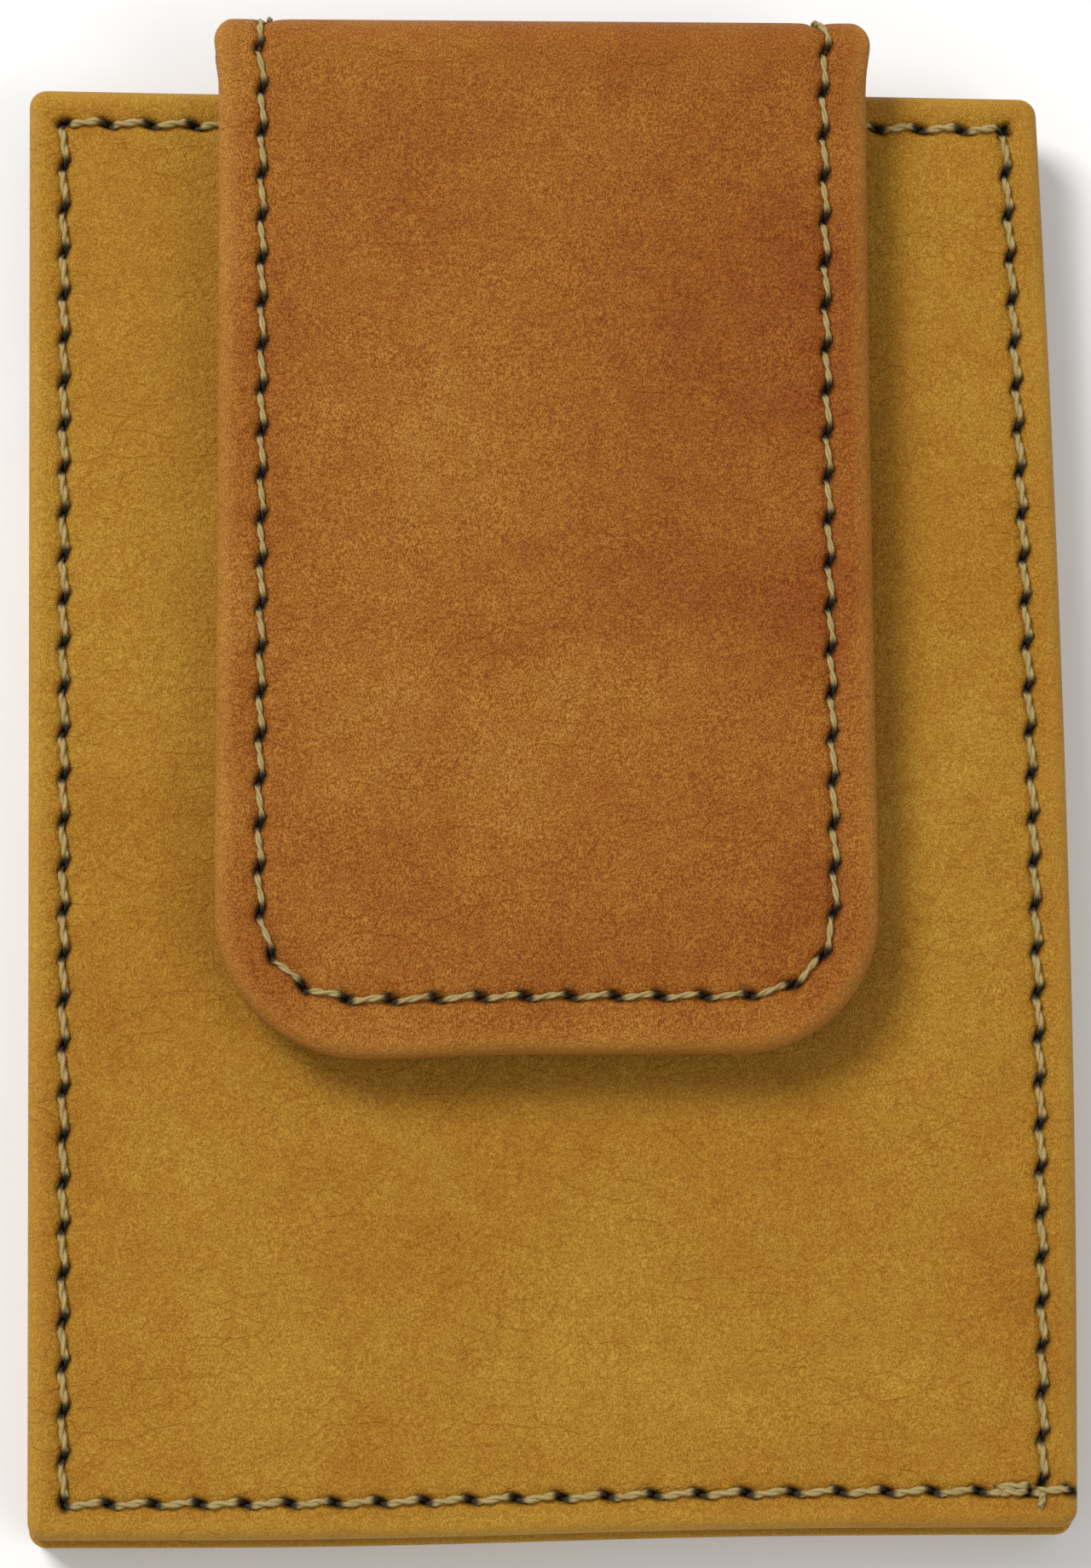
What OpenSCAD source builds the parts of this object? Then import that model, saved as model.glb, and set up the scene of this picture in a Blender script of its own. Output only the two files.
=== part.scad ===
// Magnetic money clip: a folded leather strap on the face of a slim card case.
// The case lies on its back. +X is its right side, +Y its top and +Z its clip side.
// The origin is on the plane the case rests on, under the middle of the whole outline.

/* [Case] */
// Width of the card case
case_w = 70; // [68:0.5:80]
// Height of the card case
case_h = 99.5; // [98:0.5:110]
// Radius of the case's corners
case_r = 1.2; // [0.6:0.1:3]
// How far the rear layers stand past the face panel along the bottom edge
rear_lip = 0.5; // [0:0.1:1]
// Thickness of the face panel's leather
face_t = 0.95; // [0.8:0.05:1.6]
// Thickness of the board that stiffens the face panel
stiffener_t = 0.5; // [0.3:0.1:1]
// Thickness of the back panel and of the window frame
rear_t = 0.9; // [0.7:0.05:1.4]
// Thickness of the woven linings
lining_t = 0.2; // [0.1:0.05:0.4]
// Width of the face panel's edge that is turned under
turned_w = 6; // [4:0.5:9]

/* [Card pockets] */
// Room in the centre pocket, enough for one card
pocket_gap = 0.8; // [0.6:0.1:2]
// Thickness of the leather of the two card slots
slot_t = 0.8; // [0.6:0.05:1.2]
// Slack left in each empty rear pocket
slot_gap = 0.1; // [0.05:0.05:0.5]
// Distance from the case's top edge down to the upper slot's mouth
first_mouth = 8; // [6:0.5:10]
// Step from one mouth to the next
mouth_step = 9; // [7:0.5:10]
// Width of the identity window
window_w = 46; // [40:1:48]
// Height of the identity window
window_h = 54; // [40:1:56]
// Height of the window's lower edge above the case's bottom edge
window_rise = 10; // [9:0.5:12]
// Thickness of the clear sheet behind the window
sheet_t = 0.25; // [0.15:0.05:0.4]
// Radius of the thumb notch in the window pocket's mouth
notch_r = 9; // [6:0.5:11]

/* [Clip strap] */
// Width of the strap
strap_w = 44.4; // [40:0.2:50]
// Length of the flap from the fold's crown to its tip
flap_len = 71.5; // [60:0.5:80]
// How much shorter than the flap the sewn-down leaf is
base_short = 4; // [2:0.5:10]
// How far the fold's crown stands above the case's top edge
crown_rise = 4.2; // [3.5:0.1:8]
// Radius of the strap's tip corners
tip_r = 9.5; // [7:0.5:14]
// Thickness of the strap's outer leather
strap_t = 0.8; // [0.6:0.05:1.2]
// Thickness of the strap's inner leather
strap_lining_t = 0.6; // [0.55:0.05:0.9]
// Gap between the closed leaves
leaf_gap = 0.4; // [0.3:0.1:1]
// Length over which the strap thins from its boards to the fold
taper_len = 4; // [3:0.5:8]

/* [Magnets] */
// Diameter of each disc magnet
magnet_d = 10; // [8:0.5:12]
// Thickness of the magnets and of the board that holds them
board_t = 1; // [0.8:0.1:1.5]
// Distance between the two magnets of a leaf
magnet_spacing = 16; // [14:0.5:18]
// Distance from the flap's tip to the magnets' centres
magnet_rise = 16; // [15:0.5:24]
// Radial clearance around each magnet
magnet_gap = 0.1; // [0.05:0.05:0.3]

/* [Stitching] */
// Diameter of the thread
thread_d = 0.5; // [0.4:0.05:0.5]
// Distance from one needle hole to the next
stitch_pitch = 3; // [2.5:0.1:4]
// Part of each pitch taken up by the needle hole
hole_len = 0.8; // [0.5:0.1:1.2]
// Angle of each stitch to its seam
stitch_slant = 6; // [0:1:10]
// Depth that a stitch is pulled into the leather beneath it
stitch_bite = 0.05; // [0:0.01:0.1]
// Distance of the case's seam from the edge
case_seam = 2.4; // [2:0.1:3]
// Distance of the rear pocket-mouth seam from the right edge
rear_mouth_seam = 3.4; // [3.2:0.1:5]
// Distance of the strap's seam from its sides
strap_seam = 3; // [2.4:0.1:3.6]
// Distance of the strap's seam from its tips
tip_seam = 3.8; // [3:0.1:4.5]
// Distance of the window's seam from the opening
window_seam = 2.5; // [2:0.1:3]

/* [Hidden] */
$fn = 48;
SLACK = 0.05;       // keeps neighbouring pieces of one node apart
OVERCUT = 1;        // how far a cutter runs past the surface it opens
groove_w = 0.9;     // width of the channel a seam is pulled into
groove_d = thread_d;
window_r = 4;       // corners of the identity window
bar_tack_len = 5.4; // the locked end of the bottom seam
bar_tack_step = 0.8;

// Outline, measured from the origin
overall_h = case_h + crown_rise;
right = case_w / 2;
left = -right;
bottom = -overall_h / 2;
top = bottom + case_h;
face_bottom = bottom + rear_lip;

// Heights of the layers, from the back to the clip
sheet_z = rear_t;
middle_z = sheet_z + sheet_t + slot_gap;
middle_lining_z = middle_z + slot_t;
upper_z = middle_lining_z + lining_t + slot_gap;
upper_lining_z = upper_z + slot_t;
back_z = upper_lining_z + lining_t + slot_gap;
pocket_lining_z = back_z + rear_t;
pocket_z = pocket_lining_z + lining_t;
face_lining_z = pocket_z + pocket_gap;
stiffener_z = face_lining_z + lining_t;
face_z = stiffener_z + stiffener_t;
base_z = face_z + face_t;
leaf_t = strap_t + board_t + strap_lining_t;
flap_z = base_z + leaf_t + leaf_gap;
clip_z = flap_z + leaf_t;

// Mouths of the rear pockets
upper_mouth = top - first_mouth;
middle_mouth = upper_mouth - mouth_step;
window_mouth = middle_mouth - mouth_step;

// Seam lines
left_seam = left + case_seam;
right_seam = right - case_seam;
rear_mouth_x = right - rear_mouth_seam;
top_seam = top - case_seam;
bottom_seam = bottom + rear_lip + case_seam;
// Each stretch of the rear side seams: where it starts, where it ends and its level
rear_steps = [
    [bottom_seam, window_mouth, 0],
    [window_mouth, middle_mouth, middle_z],
    [middle_mouth, upper_mouth, upper_z],
    [upper_mouth, top_seam, back_z],
];

// Identity window
window_bottom = bottom + window_rise;
window_top = window_bottom + window_h;

// Strap
strap_half = strap_w / 2;
seam_half = strap_half - strap_seam;
seam_r = tip_r - strap_seam;
crown = overall_h / 2;
fold_r = (clip_z - base_z) / 2;
fold_y = crown - fold_r;
fold_z = (clip_z + base_z) / 2;
flap_tip = crown - flap_len;
base_tip = flap_tip + base_short;
taper_y = fold_y - taper_len;
rim_w = strap_seam + 1.2; // the strap leather's turned edge, under its seam
magnet_y = flap_tip + magnet_rise;

CASE_COLOUR = [0.68, 0.48, 0.18];
STRAP_COLOUR = [0.62, 0.39, 0.16];
INNER_COLOUR = [0.55, 0.36, 0.17];
LINING_COLOUR = [0.42, 0.33, 0.24];
BOARD_COLOUR = [0.60, 0.55, 0.46];
THREAD_COLOUR = [0.78, 0.71, 0.52];
BOBBIN_COLOUR = [0.70, 0.62, 0.44];
SHEET_COLOUR = [0.80, 0.86, 0.90];
MAGNET_COLOUR = [0.72, 0.72, 0.74];

// ---- Shapes that repeat ----

// A flat sheet between two opposite corners, with rounded corners
module sheet(low, high, thickness, r = case_r) {
    size = high - low;
    linear_extrude(thickness) {
        translate([low.x + r, low.y]) square([size.x - 2 * r, size.y]);
        translate([low.x, low.y + r]) square([size.x, size.y - 2 * r]);
        for (x = [low.x + r, high.x - r], y = [low.y + r, high.y - r])
            translate([x, y]) circle(r);
    }
}

// A straight-sided leaf, square at its upper end and rounded at its tip
module leaf(half_w, tip, end, r, thickness) {
    linear_extrude(thickness) {
        translate([-half_w, tip + r]) square([2 * half_w, end - tip - r]);
        translate([r - half_w, tip]) square([2 * (half_w - r), r + SLACK]);
        for (x = [r - half_w, half_w - r]) translate([x, tip + r]) circle(r);
    }
}

// One visible stitch, lying along X
module stitch(pitch) {
    rotate([0, 90, 0]) cylinder(h = pitch - hole_len, d = thread_d, center = true);
}

// A straight row of stitches from p to q
module stitch_line(p, q) {
    count = round(norm(q - p) / stitch_pitch);
    for (i = [0 : count - 1])
        translate(p + (q - p) * (i + 0.5) / count)
            rotate(atan2(q.y - p.y, q.x - p.x) + stitch_slant)
                stitch(norm(q - p) / count);
}

// A row of stitches on an arc about a centre, from one angle to another
module stitch_arc(centre, r, from, to) {
    run = r * abs(to - from) * PI / 180;
    count = round(run / stitch_pitch);
    for (i = [0 : count - 1]) {
        angle = from + (to - from) * (i + 0.5) / count;
        translate(centre + r * [cos(angle), sin(angle)])
            rotate(angle + 90 + stitch_slant) stitch(run / count);
    }
}

// The stitches of a leaf: down its left side, round its tip and up its right side
module leaf_stitches(tip, end) {
    line = tip + tip_seam;
    turn = line + seam_r;
    stitch_line([-seam_half, end], [-seam_half, turn]);
    stitch_arc([seam_r - seam_half, turn], seam_r, 180, 270);
    stitch_line([seam_r - seam_half, line], [seam_half - seam_r, line]);
    stitch_arc([seam_half - seam_r, turn], seam_r, 270, 360);
    stitch_line([seam_half, turn], [seam_half, end]);
}

// The channel that a leaf's stitches lie in
module leaf_groove(tip, end) {
    line = tip + tip_seam;
    side = groove_w / 2;
    difference() {
        leaf(seam_half + side, line - side, end + OVERCUT, seam_r + side, groove_d);
        translate([0, 0, -OVERCUT])
            leaf(seam_half - side, line + side, end + 2 * OVERCUT, seam_r - side,
                 groove_d + 2 * OVERCUT);
    }
}

// The channel that a straight row of stitches lies in
module groove_line(p, q) {
    translate([min(p.x, q.x) - groove_w / 2, min(p.y, q.y) - groove_w / 2])
        cube([abs(q.x - p.x) + groove_w, abs(q.y - p.y) + groove_w, groove_d]);
}

// Places a row so that its stitches bite into a surface that faces up
module on_top(z) {
    translate([0, 0, z - thread_d / 2 - stitch_bite]) children();
}

// Places a row so that its stitches bite into a surface that faces down
module underneath(z) {
    translate([0, 0, z + thread_d / 2 + stitch_bite]) children();
}

// The rear grooves of one stretch of the side seams
module rear_side_grooves(step) {
    for (x = [left_seam, rear_mouth_x])
        translate([0, 0, step[2]]) groove_line([x, step[0]], [x, step[1] + OVERCUT]);
}

// A leather panel of the card pockets, from the bottom edge up to its mouth
module pocket_leather(z, mouth, thickness) {
    translate([0, 0, z]) sheet([left, bottom], [right, mouth], thickness);
}

// A woven lining glued inside a rear pocket, clear of the seams
module pocket_cloth(z, mouth) {
    margin = rear_mouth_seam + groove_w;
    translate([0, 0, z])
        sheet([left + margin, bottom + margin], [right - margin, mouth - margin], lining_t);
}

// A disc magnet's place in the boards, once on each side of the middle
module at_magnets(z) {
    for (side = [-1, 1])
        translate([side * magnet_spacing / 2, magnet_y, z]) children();
}

// A strap leather: its skin, and its edge turned round the board to meet the lining
module strap_leather(tip, skin_z, rim_z) {
    translate([0, 0, skin_z]) leaf(strap_half, tip, fold_y, tip_r, strap_t);
    translate([0, 0, rim_z]) difference() {
        leaf(strap_half, tip, taper_y, tip_r, board_t);
        translate([0, 0, -OVERCUT])
            leaf(strap_half - rim_w, tip + rim_w, taper_y + OVERCUT, tip_r - rim_w,
                 board_t + 2 * OVERCUT);
    }
}

// The board inside a leaf, with a round bore for each magnet
module magnet_board(tip, z) {
    inset = rim_w + SLACK;
    difference() {
        translate([0, 0, z])
            leaf(strap_half - inset, tip + inset, taper_y, tip_r - inset, board_t);
        at_magnets(z - OVERCUT)
            cylinder(h = board_t + 2 * OVERCUT, d = magnet_d + 2 * magnet_gap);
    }
}

module magnets(z) {
    at_magnets(z) cylinder(h = board_t, d = magnet_d);
}

// Extrudes a profile, drawn with Y across and Z up, over the strap's whole width
module across_strap() {
    translate([-strap_half, 0, 0]) rotate([90, 0, 90]) linear_extrude(strap_w) children();
}

// Profile of the space inside one surface of the fold: a half disc past the leaves' ends
// that spreads, over the taper, from the disc's radius to the given half height
module fold_profile(r, half_height) {
    difference() {
        translate([fold_y, fold_z]) circle(r);
        translate([fold_y - r, fold_z - r]) square([r, 2 * r]);
    }
    polygon([
        [taper_y, fold_z - half_height], [fold_y, fold_z - r], [fold_y + r / 2, fold_z],
        [fold_y, fold_z + r], [taper_y, fold_z + half_height],
    ]);
}

// ---- Card case ----

module face_panel() color(CASE_COLOUR) difference() {
    translate([0, 0, face_z]) sheet([left, face_bottom], [right, top], face_t);
    translate([0, 0, base_z - groove_d]) {
        groove_line([left_seam, bottom_seam], [left_seam, top_seam]);
        groove_line([right_seam, bottom_seam], [right_seam, top_seam]);
        groove_line([left_seam, top_seam], [right_seam, top_seam]);
        groove_line([left_seam, bottom_seam], [right + OVERCUT, bottom_seam]);
        groove_line([right - bar_tack_len, bottom_seam + bar_tack_step],
                    [right + OVERCUT, bottom_seam + bar_tack_step]);
    }
}

// The face leather's edge, turned under: full depth on the sewn sides, thin at the pocket mouth
module face_turned_edges() color(CASE_COLOUR) {
    depth = face_z - pocket_lining_z;
    side_low = face_bottom + turned_w + SLACK;
    side_h = top - turned_w - SLACK - side_low;
    intersection() {
        translate([0, 0, pocket_lining_z]) sheet([left, face_bottom], [right, top], depth);
        union() {
            translate([left, side_low, pocket_lining_z]) cube([turned_w, side_h, depth]);
            translate([right - turned_w, side_low, face_lining_z])
                cube([turned_w, side_h, face_z - face_lining_z]);
            for (y = [face_bottom, top - turned_w])
                translate([left, y, pocket_lining_z]) cube([case_w, turned_w, depth]);
        }
    }
}

module face_stiffener() color(BOARD_COLOUR) {
    inset = turned_w + SLACK;
    translate([left + inset, face_bottom + inset, stiffener_z])
        cube([case_w - 2 * inset, top - face_bottom - 2 * inset, stiffener_t]);
}

module face_lining() color(LINING_COLOUR) {
    inset = turned_w + SLACK;
    translate([left + inset, face_bottom + inset, face_lining_z])
        cube([case_w - 2 * inset, top - face_bottom - 2 * inset, lining_t]);
}

module pocket_lining() color(LINING_COLOUR) {
    inset = turned_w + SLACK;
    reach = right - rear_mouth_seam - groove_w;
    translate([left + inset, face_bottom + inset, pocket_lining_z])
        cube([reach - left - inset, top - face_bottom - 2 * inset, lining_t]);
}

module back_panel() color(CASE_COLOUR) difference() {
    pocket_leather(back_z, top, rear_t);
    rear_side_grooves(rear_steps[3]);
    translate([0, 0, back_z]) groove_line([left_seam, top_seam], [rear_mouth_x, top_seam]);
}

module upper_card_slot() color(CASE_COLOUR) difference() {
    pocket_leather(upper_z, upper_mouth, slot_t);
    rear_side_grooves(rear_steps[2]);
}

module upper_slot_lining() color(LINING_COLOUR) pocket_cloth(upper_lining_z, upper_mouth);

module middle_card_slot() color(CASE_COLOUR) difference() {
    pocket_leather(middle_z, middle_mouth, slot_t);
    rear_side_grooves(rear_steps[1]);
}

module middle_slot_lining() color(LINING_COLOUR) pocket_cloth(middle_lining_z, middle_mouth);

// A sheet that stands the given distance outside the identity window
module window_area(beyond, thickness) {
    low = [-window_w / 2 - beyond, window_bottom - beyond];
    high = [window_w / 2 + beyond, window_top + beyond];
    sheet(low, high, thickness, window_r);
}

module window_frame() color(CASE_COLOUR) difference() {
    pocket_leather(0, window_mouth, rear_t);
    translate([0, 0, -OVERCUT]) window_area(0, rear_t + 2 * OVERCUT);
    translate([0, 0, groove_d - OVERCUT]) difference() {
        window_area(window_seam + groove_w / 2, OVERCUT);
        translate([0, 0, -OVERCUT])
            window_area(window_seam - groove_w / 2, 3 * OVERCUT);
    }
    translate([0, window_mouth + notch_r / 2, -OVERCUT])
        cylinder(h = rear_t + 2 * OVERCUT, r = notch_r);
    rear_side_grooves(rear_steps[0]);
    groove_line([left_seam, bottom_seam], [right_seam, bottom_seam]);
}

module window_sheet() color(SHEET_COLOUR)
    translate([0, 0, sheet_z]) window_area(window_seam + 2.5, sheet_t);

// ---- Seams of the case ----

module case_seam_thread() color(THREAD_COLOUR) on_top(base_z) {
    stitch_line([right_seam, top_seam], [left_seam, top_seam]);
    stitch_line([left_seam, top_seam], [left_seam, bottom_seam]);
    stitch_line([left_seam, bottom_seam], [right - SLACK, bottom_seam]);
}

module case_seam_bobbin() color(BOBBIN_COLOUR) {
    for (step = rear_steps)
        underneath(step[2]) stitch_line([left_seam, step[0]], [left_seam, step[1]]);
    underneath(0) stitch_line([left_seam, bottom_seam], [right_seam, bottom_seam]);
    underneath(back_z) stitch_line([left_seam, top_seam], [rear_mouth_x, top_seam]);
}

module pocket_edge_thread() color(THREAD_COLOUR) on_top(base_z)
    stitch_line([right_seam, bottom_seam + stitch_pitch / 2], [right_seam, top_seam - hole_len]);

module pocket_edge_bobbin() color(BOBBIN_COLOUR)
    translate([0, 0, face_lining_z - thread_d / 2 + stitch_bite])
        stitch_line([right_seam, face_bottom + turned_w + hole_len],
                    [right_seam, top - turned_w - hole_len]);

module rear_edge_thread() color(THREAD_COLOUR)
    for (step = rear_steps)
        underneath(step[2])
            stitch_line([rear_mouth_x, step[0] + hole_len], [rear_mouth_x, step[1] - hole_len]);

module rear_edge_bobbin() color(BOBBIN_COLOUR)
    translate([0, 0, pocket_lining_z + thread_d / 2 - stitch_bite])
        stitch_line([rear_mouth_x, face_bottom + turned_w + hole_len],
                    [rear_mouth_x, top - turned_w - hole_len]);

module window_seam_thread() color(THREAD_COLOUR) underneath(0) {
    x = window_w / 2 + window_seam;
    low = window_bottom - window_seam;
    high = window_top + window_seam;
    turn_x = x - window_r;
    turn_low = low + window_r;
    turn_high = high - window_r;
    for (side = [-x, x]) stitch_line([side, turn_low], [side, turn_high]);
    for (y = [low, high]) stitch_line([-turn_x, y], [turn_x, y]);
    stitch_arc([turn_x, turn_high], window_r, 0, 90);
    stitch_arc([-turn_x, turn_high], window_r, 90, 180);
    stitch_arc([-turn_x, turn_low], window_r, 180, 270);
    stitch_arc([turn_x, turn_low], window_r, 270, 360);
}

// The bottom seam is sewn back over itself where it runs out beside the pocket mouth
module bar_tack_thread() color(THREAD_COLOUR) on_top(base_z)
    stitch_line([right - bar_tack_len, bottom_seam + bar_tack_step],
                [right - SLACK, bottom_seam + bar_tack_step]);

// ---- Sewn-down leaf of the clip ----

module base_leather() color(STRAP_COLOUR) strap_leather(base_tip, base_z, base_z + strap_t);

module base_board() color(BOARD_COLOUR) magnet_board(base_tip, base_z + strap_t);

module base_magnets() color(MAGNET_COLOUR) magnets(base_z + strap_t);

module base_lining() color(INNER_COLOUR) {
    z = base_z + strap_t + board_t;
    difference() {
        translate([0, 0, z]) leaf(strap_half, base_tip, taper_y, tip_r, strap_lining_t);
        translate([0, 0, z + strap_lining_t - groove_d]) leaf_groove(base_tip, taper_y);
    }
}

module base_seam_thread() color(THREAD_COLOUR)
    on_top(base_z + leaf_t) leaf_stitches(base_tip, taper_y);

// The same seam inside the centre pocket, where it holds the strap to the face panel
module base_seam_bobbin() color(BOBBIN_COLOUR)
    translate([0, 0, face_lining_z - thread_d / 2 + stitch_bite])
        leaf_stitches(base_tip, top - turned_w);

// ---- Fold ----

module fold_leather() color(STRAP_COLOUR) across_strap() difference() {
    inner = fold_r - strap_t;
    translate([fold_y, fold_z]) circle(fold_r);
    translate([fold_y, fold_z]) circle(inner);
    translate([fold_y - fold_r, fold_z - fold_r]) square([fold_r, 2 * fold_r]);
}

// The inner leather lies against the outer one round the bend, and spreads to the leaves
module fold_lining() color(INNER_COLOUR) across_strap() difference() {
    outer = fold_r - strap_t;
    fold_profile(outer, leaf_gap / 2 + strap_lining_t);
    fold_profile(outer - strap_lining_t, leaf_gap / 2);
}

module fold_thread() color(THREAD_COLOUR) {
    count = round(PI * fold_r / stitch_pitch);
    pitch = PI * fold_r / count;
    half_len = (pitch - hole_len) / 2;
    // the ends of each straight stitch reach the fold's outer surface
    reach = sqrt(pow(fold_r, 2) - pow(half_len, 2)) - thread_d / 2;
    for (side = [-1, 1], i = [0 : count - 1])
        translate([side * seam_half, fold_y, fold_z])
            rotate([-180 * (i + 0.5) / count, 0, 0])
                translate([0, 0, reach]) rotate(90) stitch(pitch);
}

// ---- Flap ----

module flap_leather() color(STRAP_COLOUR) difference() {
    strap_leather(flap_tip, clip_z - strap_t, clip_z - strap_t - board_t);
    translate([0, 0, clip_z - groove_d]) leaf_groove(flap_tip, fold_y);
}

module flap_board() color(BOARD_COLOUR) magnet_board(flap_tip, flap_z + strap_lining_t);

module flap_magnets() color(MAGNET_COLOUR) magnets(flap_z + strap_lining_t);

module flap_lining() color(INNER_COLOUR) difference() {
    translate([0, 0, flap_z]) leaf(strap_half, flap_tip, taper_y, tip_r, strap_lining_t);
    translate([0, 0, flap_z]) leaf_groove(flap_tip, taper_y);
}

module flap_seam_thread() color(THREAD_COLOUR) on_top(clip_z) leaf_stitches(flap_tip, fold_y);

module flap_seam_bobbin() color(BOBBIN_COLOUR)
    underneath(flap_z) leaf_stitches(flap_tip, taper_y);

face_panel();
face_turned_edges();
face_stiffener();
face_lining();
pocket_lining();
back_panel();
upper_card_slot();
upper_slot_lining();
middle_card_slot();
middle_slot_lining();
window_frame();
window_sheet();
case_seam_thread();
case_seam_bobbin();
pocket_edge_thread();
pocket_edge_bobbin();
rear_edge_thread();
rear_edge_bobbin();
window_seam_thread();
bar_tack_thread();
base_leather();
base_board();
base_magnets();
base_lining();
base_seam_thread();
base_seam_bobbin();
fold_leather();
fold_lining();
fold_thread();
flap_leather();
flap_board();
flap_magnets();
flap_lining();
flap_seam_thread();
flap_seam_bobbin();
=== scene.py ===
"""Looks of the magnetic money clip: a stitched leather strap folded over the face of a card case.

Shapes are worked out in millimetres, in the CAD's frame, and turned into metres when a mesh is made.
The strap is one strip, so it is shaped flat (u across it, v along it from the fold's crown) and then
wrapped round the fold. Every leather piece carries its flat place as an attribute, so that its grain
stays on it when it bends.
"""

import math

import bmesh
import bpy
import numpy as np
from mathutils import Matrix, Vector


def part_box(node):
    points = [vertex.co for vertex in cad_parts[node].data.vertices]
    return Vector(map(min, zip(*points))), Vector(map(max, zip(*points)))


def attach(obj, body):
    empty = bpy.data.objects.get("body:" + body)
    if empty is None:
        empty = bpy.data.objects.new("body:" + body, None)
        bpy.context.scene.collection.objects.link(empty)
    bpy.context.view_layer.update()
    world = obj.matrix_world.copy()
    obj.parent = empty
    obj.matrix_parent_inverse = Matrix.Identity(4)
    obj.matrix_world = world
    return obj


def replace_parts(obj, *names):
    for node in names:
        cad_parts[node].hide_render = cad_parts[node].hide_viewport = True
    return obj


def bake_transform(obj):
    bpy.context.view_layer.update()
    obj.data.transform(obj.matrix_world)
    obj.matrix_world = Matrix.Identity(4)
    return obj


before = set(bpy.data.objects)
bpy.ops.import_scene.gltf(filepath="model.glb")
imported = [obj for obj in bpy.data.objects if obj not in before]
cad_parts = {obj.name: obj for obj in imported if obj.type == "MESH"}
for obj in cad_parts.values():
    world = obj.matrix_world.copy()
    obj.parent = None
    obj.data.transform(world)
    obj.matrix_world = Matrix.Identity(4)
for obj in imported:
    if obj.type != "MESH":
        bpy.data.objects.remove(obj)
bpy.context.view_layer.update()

MM = 0.001

# Camera, as the photograph was taken: nearly straight down on the clip side
CAMERA_AZIMUTH = -17.2
CAMERA_ELEVATION = 81.4
CAMERA_ROLL = -0.31
CAMERA_DISTANCE = 350
CAMERA_TARGET = (0.1, -0.85, 7)
CAMERA_LENS = 118.1

# Case
CASE_CORNER = 1.2
CASE_SEAM = 2.4  # how far the main seam lies from the edge
MOUTH_BULGE = 0.95  # how far the open side of the pocket bulges out
MOUTH_BULGE_Y = -20  # where it bulges most
MOUTH_BOW = 1.35  # how far it draws in again towards its upper corner
SKEW = 0.35  # how far out of square the case is at its corners
WAVER = 0.12  # how far its upper and lower edges waver
POCKET_RIM_SHORT = 1.0  # the turned edge is thinner along the pocket's mouth
FACE_ROLL = 0.95  # radius of the face leather's rounded edge
GLUE_OVERLAP = 0.02  # how far the face leather reaches into the board glued behind it
REAR_ROLL = 0.4
REAR_MOUTH_SEAM = 3.4  # how far the back's seam lies from the open side
REAR_CREASE = 2.0  # how far below a card slot's mouth its crease runs
NOTCH_RADIUS = 9
NOTCH_RISE = 4.5  # how far the notch's centre lies above the window leather's mouth
WINDOW_CORNER = 4
WINDOW_SEAM = 2.5
WINDOW_ROLL = 0.35  # radius of the leather's edge round the window

# Strap
TIP_CORNER = 9.5
STRAP_SEAM = 3.0
TIP_SEAM = 3.8
SEAM_SPLIT = -5.0  # where the flap's seam ends and the sewn-down leaf's begins
STRAP_SKIN = 0.8  # thickness of the outer leather round the fold
BOARD = 1.0  # how much thicker it is where it wraps the boards
TAPER = 4.0  # length over which it thickens
STRAP_ROLL = 1.15  # radius of its rounded edge, where it is thick enough
STRAP_LINING = 0.6
LINING_SHORT = 0.2  # how far the inner leather's edge stands back
LINING_ROLL = 0.22
CROWN_ROWS = 1.2  # points lie closer together this near the crown
CROWN_PINCH = 0.022  # how much narrower the strap is at its crown, as a share
SHOULDER_FLARE = 0.014  # how much wider it is just beside the crown
SIDE_WAVER = 0.004  # how much the flap's width wavers, as a share
TIP_SAG = 0.3  # how far the tip's edge sags on its left

# Leather
GRAIN_TURN = 35  # which way the fine flecks lean, in degrees
# Colour of the painted shade inside the needle holes
HOLE_SHADE_COLOUR = (0.008, 0.004, 0.002)
TURNED_WIDTH = 6  # width of the hem
HEM_STEP = 0.05
PANEL_SUNK = 0.1  # how far the middle of a panel's face lies below its rim
SIDE_FADE = 0.8  # depth below the face over which a relief fades out
UNDER_ROLL = 0.25  # radius of a sheet's lower edge
STEP = 0.27  # spacing of points along an outline

# Needle holes and the channel that a seam pulls in
PITCH = 3.0  # from hole to hole
SEAM_REACH = 2  # how far round a seam the leather is pulled in at all
HOLE_LENGTH = 0.56  # half of it, along the seam
HOLE_WIDTH = 0.33  # half of it
HOLE_LEAN = 0.3  # how far it leans across the seam for each millimetre along
CHANNEL_WIDTH = 0.5
TUCK_DEPTH = 0.08  # how far the leather dips round a hole
TUCK_SPREAD = 0.9

# Stitches
PLY_RADIUS = 0.15
PLY_OFFSET = 0.12
PLY_TURNS = 1.3
STITCH_SLANT = 0.23
STITCH_ARCH = 0.06  # how far a stitch stands up in its middle
STITCH_DIVE = 1.1  # how deep its ends go into the needle holes
DIVE_START = 0.53  # where it begins to dive, from 0 in its middle to 1 at its ends
DIVE_LENGTH = 0.48
SPIN_STEP = 0.9  # how much further round each stitch's twist starts, in radians
STRAP_THREAD = 0.82  # size of the strap's thread against the case's
REAR_LIFT = -0.3  # stitches on the back are sunk flush, so that the case lies flat
TACK_ENDS = (  # the bar tack's doubled stitches and cut ends, from the seams' crossing
    ((-3.6, 0.5), (-0.5, 0.2)),
    ((-3.3, 0.1), (-0.7, -0.25)),
    ((-0.9, 0.25), (2.1, -0.1)),
    ((0.3, 0.1), (-0.5, -1.25)),
)


def node_box(name):
    """Lowest and highest corner of a CAD node, in millimetres."""
    low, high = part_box(name)
    return np.array(low) / MM, np.array(high) / MM


def smooth(t):
    """Smooth step from 0 to 1."""
    t = np.clip(t, 0, 1)
    return t * t * (3 - 2 * t)


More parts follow.
